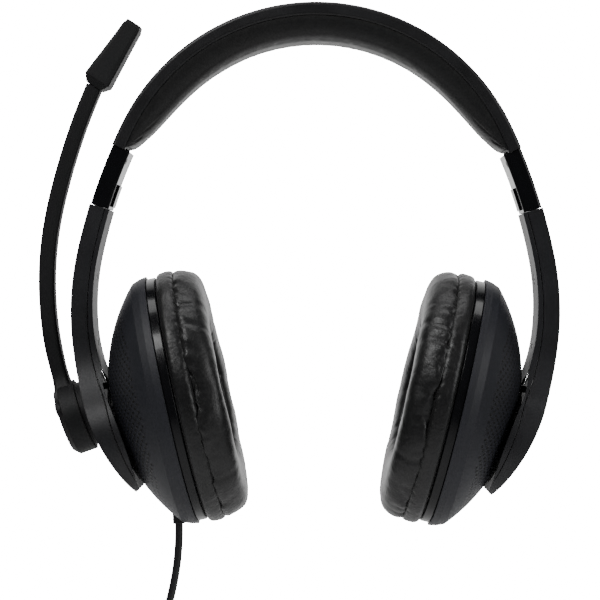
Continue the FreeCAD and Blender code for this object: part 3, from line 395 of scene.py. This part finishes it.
def curve_between(before, a, b, after, share):
    """One coordinate of a smooth curve through four successive points, at a share of the way from a to b."""
    slope_a, slope_b = (b - before) / 2, (after - a) / 2
    from_a = (2 * share ** 3 - 3 * share ** 2 + 1) * a + (share ** 3 - 2 * share ** 2 + share) * slope_a
    return from_a + ((3 * share ** 2 - 2 * share ** 3) * b + (share ** 3 - share ** 2) * slope_b)


def cushion_profile(step):
    """Section of the puffed ring from the seam (0) over the outer side and the face to the inner edge (1).
    Gives (out, radius)."""
    seam_out = RING_FROM - SKIRT_DEPTH
    face = RING_FROM - CUSHION_DEPTH
    rim, hole = CUP_HALF + 0.2, CUSHION_HOLE
    corners = ((seam_out - 0.1, rim - 2.3), (seam_out - 1.4, rim - 0.1), (seam_out - 4.4, rim + 0.1),
               (face + 2.6, rim - 2.2), (face + 0.4, rim - 6.4), (face + 0.2, (rim + hole) / 2),
               (face + 0.8, hole + 4.2), (face + 3.6, hole + 0.8), (seam_out - 2.0, hole + 0.2),
               (seam_out + 1.6, hole + 0.6))
    position = step * (len(corners) - 1)
    index = min(int(position), len(corners) - 2)
    share = position - index
    before, after = corners[max(index - 1, 0)], corners[min(index + 2, len(corners) - 1)]
    a, b = corners[index], corners[index + 1]
    return [curve_between(before[k], a[k], b[k], after[k], share) for k in range(2)]


def cushion_blank(side, seed):
    """The cushion's cloth before it is blown up, slightly uneven, and how firmly each point is held."""
    points, pins = [], []
    for i in range(CUSHION_COLUMNS):
        angle = 2 * math.pi * i / CUSHION_COLUMNS
        for k in range(CUSHION_ROWS):
            out, radius = cushion_profile(k / (CUSHION_ROWS - 1))
            shake = noise.noise(Vector((math.cos(angle) * 9, math.sin(angle) * 9, k * 0.35 + seed)))
            points.append(oval_point(out, radius, angle) + Vector((shake * 0.10, 0, 0)))
            from_edge = min(k, CUSHION_ROWS - 1 - k)
            pins.append(max(0.0, 1.0 - from_edge / 1.5))
    return mesh_object(f"{side}_blank", points, grid_faces(CUSHION_COLUMNS, CUSHION_ROWS, True)), pins


def choose_gathers(seed):
    """Angle, depth, reach in millimetres and slant of each gather around a cushion; few are long."""
    chooser = random.Random(seed)
    gathers = []
    angle = 0.0
    while angle < 2 * math.pi:
        reach = chooser.uniform(6.0, 15.0) if chooser.random() < 0.28 else chooser.uniform(2.2, 5.5)
        gathers.append((angle, chooser.uniform(0.4, 1.0), reach, chooser.uniform(-0.06, 0.06)))
        angle += chooser.uniform(0.05, 0.125)
    return gathers


def gathered(angle, run, gathers):
    """How deep the gathers pull the skin in, at an angle around and a share of the way over the cushion."""
    depth = 0.0
    for at, deep, reach, slant in gathers:
        gap = (angle - at - slant * run * 4 + math.pi) % (2 * math.pi) - math.pi
        if abs(gap) < GATHER_REACH:
            near_seam = 1.2 * math.exp(-((run * SKIN_LENGTH / reach) ** 1.4))
            near_hole = 0.6 * math.exp(-(((1 - run) * SKIN_LENGTH / (reach * 1.2)) ** 1.4))
            depth += deep * (near_seam + near_hole) * math.exp(-(gap / GATHER_WIDTH) ** 2)
    return depth


def make_cushion(side, seed):
    """Puffed, gathered cushion ring. The skin is fixed along its seam and its inner edge, has spare length
    and is blown up, so it bulges and puckers by itself; gathers at both edges are drawn in on top."""
    blank, pins = cushion_blank(side, seed)
    points = twice_around(puff(blank, pins, 3.2, -0.075, 2.0), CUSHION_COLUMNS, CUSHION_ROWS)
    bpy.data.objects.remove(blank)
    columns = CUSHION_COLUMNS * 2
    gathers = choose_gathers(seed)
    middle = (CUP_HALF + CUSHION_HOLE) / 2
    final = []
    for i in range(columns):
        angle = 2 * math.pi * i / columns
        centre = oval_point(RING_FROM - 11.5, middle, angle)
        for k in range(CUSHION_ROWS):
            point = Vector(points[i * CUSHION_ROWS + k])
            run = k / (CUSHION_ROWS - 1)
            inward = centre - point
            inward.normalize()
            broad = noise.noise(Vector((point.x * 0.16, point.y * 0.085 + seed, point.z * 0.085)))
            unevenness = 0.55 * broad * min(1.0, 6 * run * (1 - run) + 0.1)
            final.append(point + inward * (1.25 * gathered(angle, run, gathers) + unevenness))
    obj = mesh_object(f"{side}_cushion", final, grid_faces(columns, CUSHION_ROWS, True))
    finish_soft(obj, side)
    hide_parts(f"{side}_cushion_cover", f"{side}_cushion_foam")


def smooth_by_subdivision(obj):
    subdivide = obj.modifiers.new("smooth", "SUBSURF")
    subdivide.levels = subdivide.render_levels = 1
    obj.data.shade_smooth()


def finish_soft(obj, side):
    """Places a soft piece of a cup, dresses it and makes it move with the cup."""
    obj.data.transform(cup_matrix(side))
    smooth_by_subdivision(obj)
    dress(obj, "leatherette")
    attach(obj, f"{side}_cup")


def make_skirt(side, seed):
    """The cushion's skirt between the trim ring and the seam, slightly bulged, with small tucks."""
    around, across = ((420, 22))
    seam_out, back = RING_FROM - SKIRT_DEPTH, RING_FROM - 0.25
    rim = CUP_HALF + 0.35
    chooser = random.Random(seed)
    tucks = [chooser.uniform(0.4, 1.0) for _ in range(64)]
    points = []
    for i in range(around):
        angle = 2 * math.pi * i / around
        place = angle / (2 * math.pi) * len(tucks)
        from_middle = place - math.floor(place) - 0.5
        tuck = tucks[int(place) % len(tucks)] * math.exp(-(from_middle / 0.16) ** 2)
        for k in range(across):
            run = k / (across - 1)
            out = back + (seam_out - 0.35 - back) * run
            bulge = 1.0 - abs(2 * run - 1) ** 3.2
            radius = rim - 2.0 + 2.0 * bulge ** 0.6
            broad = noise.noise(Vector((math.cos(angle) * 4, math.sin(angle) * 4, run * 1.5 + seed)))
            radius += 0.25 * broad * bulge - 0.55 * tuck * math.exp(-((1 - run) * 4.2) ** 2)
            points.append(oval_point(out, radius, angle))
    finish_soft(mesh_object(f"{side}_cushion_skirt", points, grid_faces(around, across, True)), side)


def make_lip(side):
    """Stretch of the cover that runs in from the puffed ring to the cloth over the driver."""
    around = 160
    profile = ((RING_FROM - SKIRT_DEPTH + 1.6, CUSHION_HOLE + 0.6), (RING_FROM - 3.2, CUSHION_HOLE + 1.2),
               (RING_FROM - 1.3, CUSHION_HOLE + 2.6))
    points = []
    for i in range(around):
        angle = 2 * math.pi * i / around
        for out, radius in profile:
            points.append(oval_point(out, radius, angle))
    finish_soft(mesh_object(f"{side}_cushion_lip", points, grid_faces(around, len(profile), True)), side)


# ---------------------------------------------------------------- headband pad
def band_width_at(angle):
    blend = math.cos(math.pi / 2 * abs(angle) / BAND_END)
    return BAND_END_WIDTH + (BAND_WIDTH - BAND_END_WIDTH) * blend


def pad_depth_at(angle):
    """Depth of the pad under the band: almost even, and closing quickly at the band's ends."""
    share = min(1.0, abs(angle) / (BAND_END - 0.4))
    return 1.0 + (PAD_THICK - 1.0) * (1 - share ** 6) ** 0.4


def make_pad(seed):
    """Padded crescent under the band: its skin is held along both edges of the band and blown up. Its
    sections lie closer together towards the ends, where its depth changes most."""
    along, around = ((300, 60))
    limit = BAND_END - 0.3
    side_roundness, floor_roundness = 0.42, 0.55   # powers of a rounded section: below 1 is boxier
    points, pins = [], []
    for i in range(along):
        angle = limit * math.sin(math.pi / 2 * (2 * i / (along - 1) - 1))
        top, down = outer(angle)
        half = (band_width_at(angle) - 1.0) / 2
        deep = pad_depth_at(angle) - 0.5
        for k in range(around):
            turn = math.pi * k / (around - 1)
            y = -half * math.copysign(abs(math.cos(turn)) ** side_roundness, math.cos(turn))
            low = deep * math.sin(turn) ** floor_roundness
            wave = noise.noise(Vector((angle * 0.11, y * 0.10, seed)))
            points.append(top + down * (BAND_THICK - 0.05 + low + 0.06 * wave) + Vector((0, y, 0)))
            from_edge = min(k, around - 1 - k, i * 0.8, (along - 1 - i) * 0.8)
            pins.append(max(0.0, 1.0 - from_edge / 2.0))
    obj = mesh_object("headband_pad", points, grid_faces(along, around, False))
    puff(obj, pins, 1.6, 0.004, 0.8)
    obj.data.transform(Matrix.Scale(MM, 4))
    smooth_by_subdivision(obj)
    dress(obj, "pad_leatherette")
    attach(obj, "headband")
    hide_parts("headband_pad_cover", "headband_pad_foam")


make_pad(3)
for side, seed in (("right", 11), ("left", 23)):
    make_cushion(side, seed)
    make_skirt(side, seed + 1)
    make_lip(side)


# ---------------------------------------------------------------- camera, light, floor
FLOOR_RADIUS, FLOOR_FADE = 0.9, (0.12, 0.62)     # metres; the floor fades out between the two distances
FLOOR_GLOW, BACKDROP_GLOW = 1.6, 20.0            # seen by the camera only; they light nothing
FRONT_LIGHT, BACK_LIGHT = 0.055, 1.5             # the studio behind the camera, and behind the object
CAMERA_PLACE, CAMERA_ROLL = (0.0, -0.750, 0.03585), math.radians(0.48)


def area_light(name, place, target, size, power):
    lamp = bpy.data.lights.new(name, "AREA")
    lamp.shape = "RECTANGLE"
    lamp.size, lamp.size_y = size
    lamp.energy = power
    obj = bpy.data.objects.new(name, lamp)
    bpy.context.scene.collection.objects.link(obj)
    obj.location = place
    obj.rotation_euler = (Vector(target) - Vector(place)).to_track_quat("-Z", "Y").to_euler()


def floor_disc(level):
    """Flat disc around the origin, in rings."""
    rings, spokes = 24, 64
    points = [(0, 0, level)]
    for i in range(1, rings + 1):
        for k in range(spokes):
            turn = 2 * math.pi * k / spokes
            radius = FLOOR_RADIUS * i / rings
            points.append((radius * math.cos(turn), radius * math.sin(turn), level))
    faces = [(0, 1 + k, 1 + (k + 1) % spokes) for k in range(spokes)]
    for i in range(rings - 1):
        inner, outside = 1 + i * spokes, 1 + (i + 1) * spokes
        for k in range(spokes):
            m = (k + 1) % spokes
            faces.append((inner + k, outside + k, outside + m, inner + m))
    return mesh_object("floor", points, faces, smooth=False)


def build_floor():
    """Pale floor under the plug that fades into the backdrop and takes the object's soft shadow."""
    floor = floor_disc(min(v.co.z for v in NODES["plug_contacts"].data.vertices))
    s = Shader("floor")
    distance = s.add("ShaderNodeVectorMath", operation="LENGTH")
    s.link(s.coords, distance.inputs[0])
    fade = s.span(distance.outputs["Value"], *FLOOR_FADE, 0.0, 1.0)
    seen = s.add("ShaderNodeLightPath").outputs["Is Camera Ray"]
    s.feed(s.main.inputs["Emission Color"], (1.0, 1.0, 1.0, 1.0))
    s.feed(s.main.inputs["Emission Strength"], s.math("MULTIPLY", seen, FLOOR_GLOW))
    s.feed(s.main.inputs["Base Color"], (0.93, 0.93, 0.93, 1.0))
    s.feed(s.main.inputs["Roughness"], 0.6)
    clear = s.add("ShaderNodeBsdfTransparent")
    mix = s.add("ShaderNodeMixShader")
    s.link(fade, mix.inputs[0])
    s.link(s.main.outputs[0], mix.inputs[1])
    s.link(clear.outputs[0], mix.inputs[2])
    s.link(mix.outputs[0], s.tree.nodes["Material Output"].inputs["Surface"])
    floor.data.materials.append(s.material)


def build_world():
    """White studio, bright behind the object and dim behind the camera, so black plastic gets lit edges."""
    world = bpy.data.worlds.new("studio")
    bpy.context.scene.world = world
    world.use_nodes = True
    tree = world.node_tree
    back = tree.nodes["Background"]
    coords = tree.nodes.new("ShaderNodeTexCoord")
    split = tree.nodes.new("ShaderNodeSeparateXYZ")
    tree.links.new(coords.outputs["Generated"], split.inputs[0])
    front = tree.nodes.new("ShaderNodeMapRange")
    front.interpolation_type = "SMOOTHSTEP"
    for socket, number in zip(front.inputs[1:5], (0.25, 0.95, FRONT_LIGHT, BACK_LIGHT)):
        socket.default_value = number
    tree.links.new(split.outputs["Y"], front.inputs[0])
    path = tree.nodes.new("ShaderNodeLightPath")
    seen = tree.nodes.new("ShaderNodeMix")
    seen.data_type = "FLOAT"
    tree.links.new(path.outputs["Is Camera Ray"], seen.inputs[0])
    tree.links.new(front.outputs[0], seen.inputs[2])
    seen.inputs[3].default_value = BACKDROP_GLOW
    tree.links.new(seen.outputs[0], back.inputs["Strength"])
    back.inputs["Color"].default_value = (1, 1, 1, 1)


def build_camera():
    """Level camera in front, with a slight roll and the picture's centre a little to the side."""
    camera = bpy.data.cameras.new("camera")
    camera.lens, camera.sensor_width = 123.8, 36.0
    camera.shift_x = -0.0258
    camera.clip_start, camera.clip_end = 0.05, 20.0
    obj = bpy.data.objects.new("camera", camera)
    bpy.context.scene.collection.objects.link(obj)
    obj.location = CAMERA_PLACE
    level = Matrix.Rotation(math.radians(90), 3, "X")
    obj.rotation_euler = (level @ Matrix.Rotation(CAMERA_ROLL, 3, "Z")).to_euler()
    bpy.context.scene.camera = obj


build_floor()
build_world()
build_camera()
area_light("key", (-0.5, -0.7, 0.75), (0, 0, 0.05), (0.5, 0.4), 5.2)
area_light("fill", (0.75, -0.55, 0.25), (0, 0, 0.03), (0.4, 0.6), 2.6)
area_light("top", (0.0, 0.05, 0.8), (0, 0, 0.1), (0.7, 0.4), 3.2)
